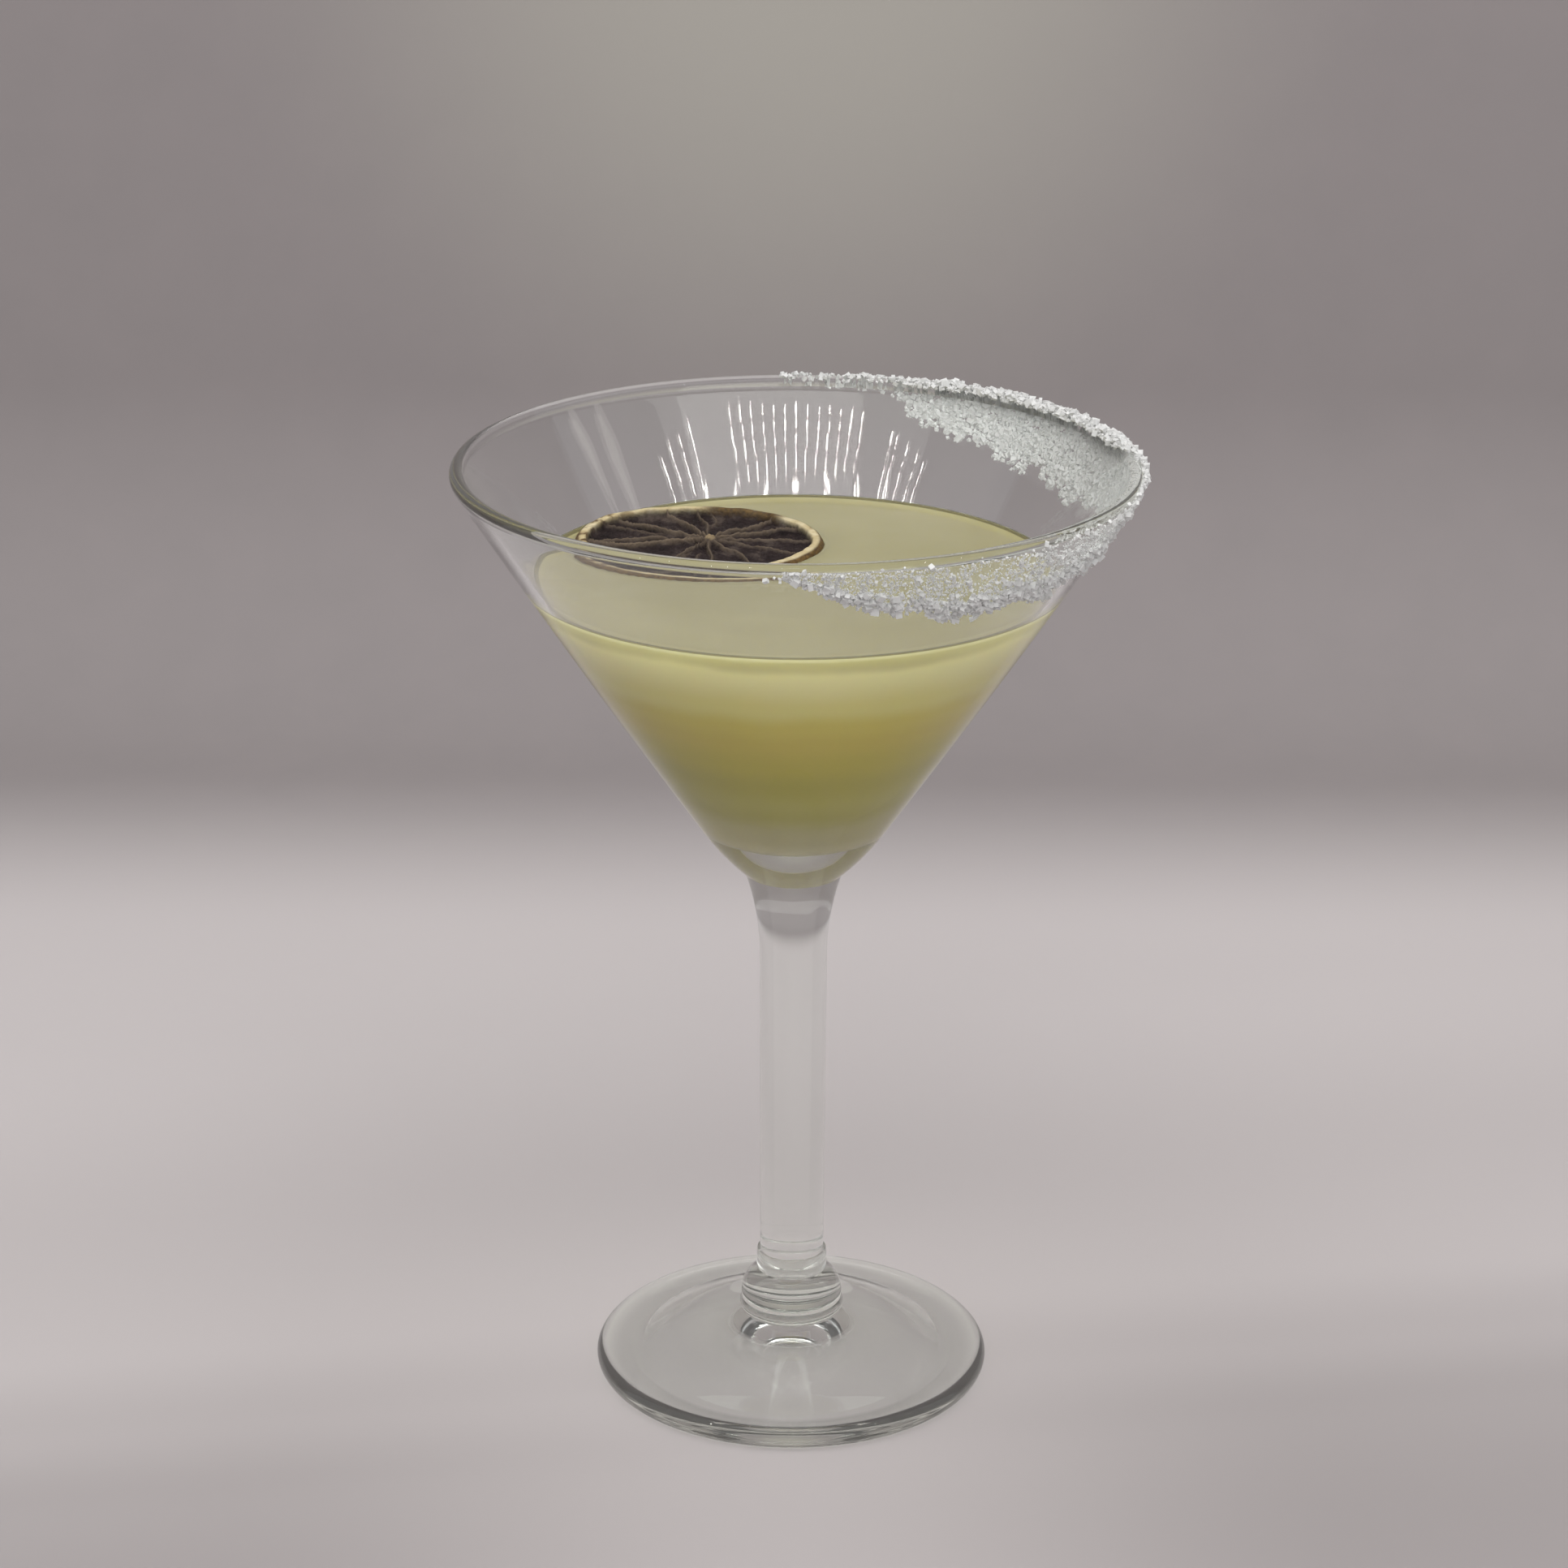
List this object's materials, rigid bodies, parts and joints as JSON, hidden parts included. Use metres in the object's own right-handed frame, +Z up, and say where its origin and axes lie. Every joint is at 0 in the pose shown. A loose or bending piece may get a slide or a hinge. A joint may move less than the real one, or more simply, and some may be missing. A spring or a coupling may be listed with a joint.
{
  "type": "margarita in a cocktail glass",
  "caption": "Stemmed V-shaped cocktail glass with a cloudy citrus drink, a floating dried lime wheel and a crust of salt round half of the rim.",
  "frame": {"origin": "middle of the foot's flat resting ring, on the table plane", "axes": "+Z up along the stem's axis, -Y towards the side that faces the viewer, +X towards the salted half of the rim"},
  "size_m": [0.117, 0.1172, 0.169],
  "materials": {
    "clear_glass": "clear polished soda glass, slightly grey-green at its edges",
    "cloudy_drink": "cloudy pale yellow-green liquid with a still, glossy surface",
    "dried_lime": "dried citrus: near-black brown shrunken flesh, pale cream pith, brown skin",
    "salt": "translucent white salt crystals, coarse and clumped"
  },
  "bodies": {
    "root": {"glass": "clear_glass", "drink": "cloudy_drink", "lime_wheel": "dried_lime", "salt_rim": "salt"}
  },
  "joints": []
}
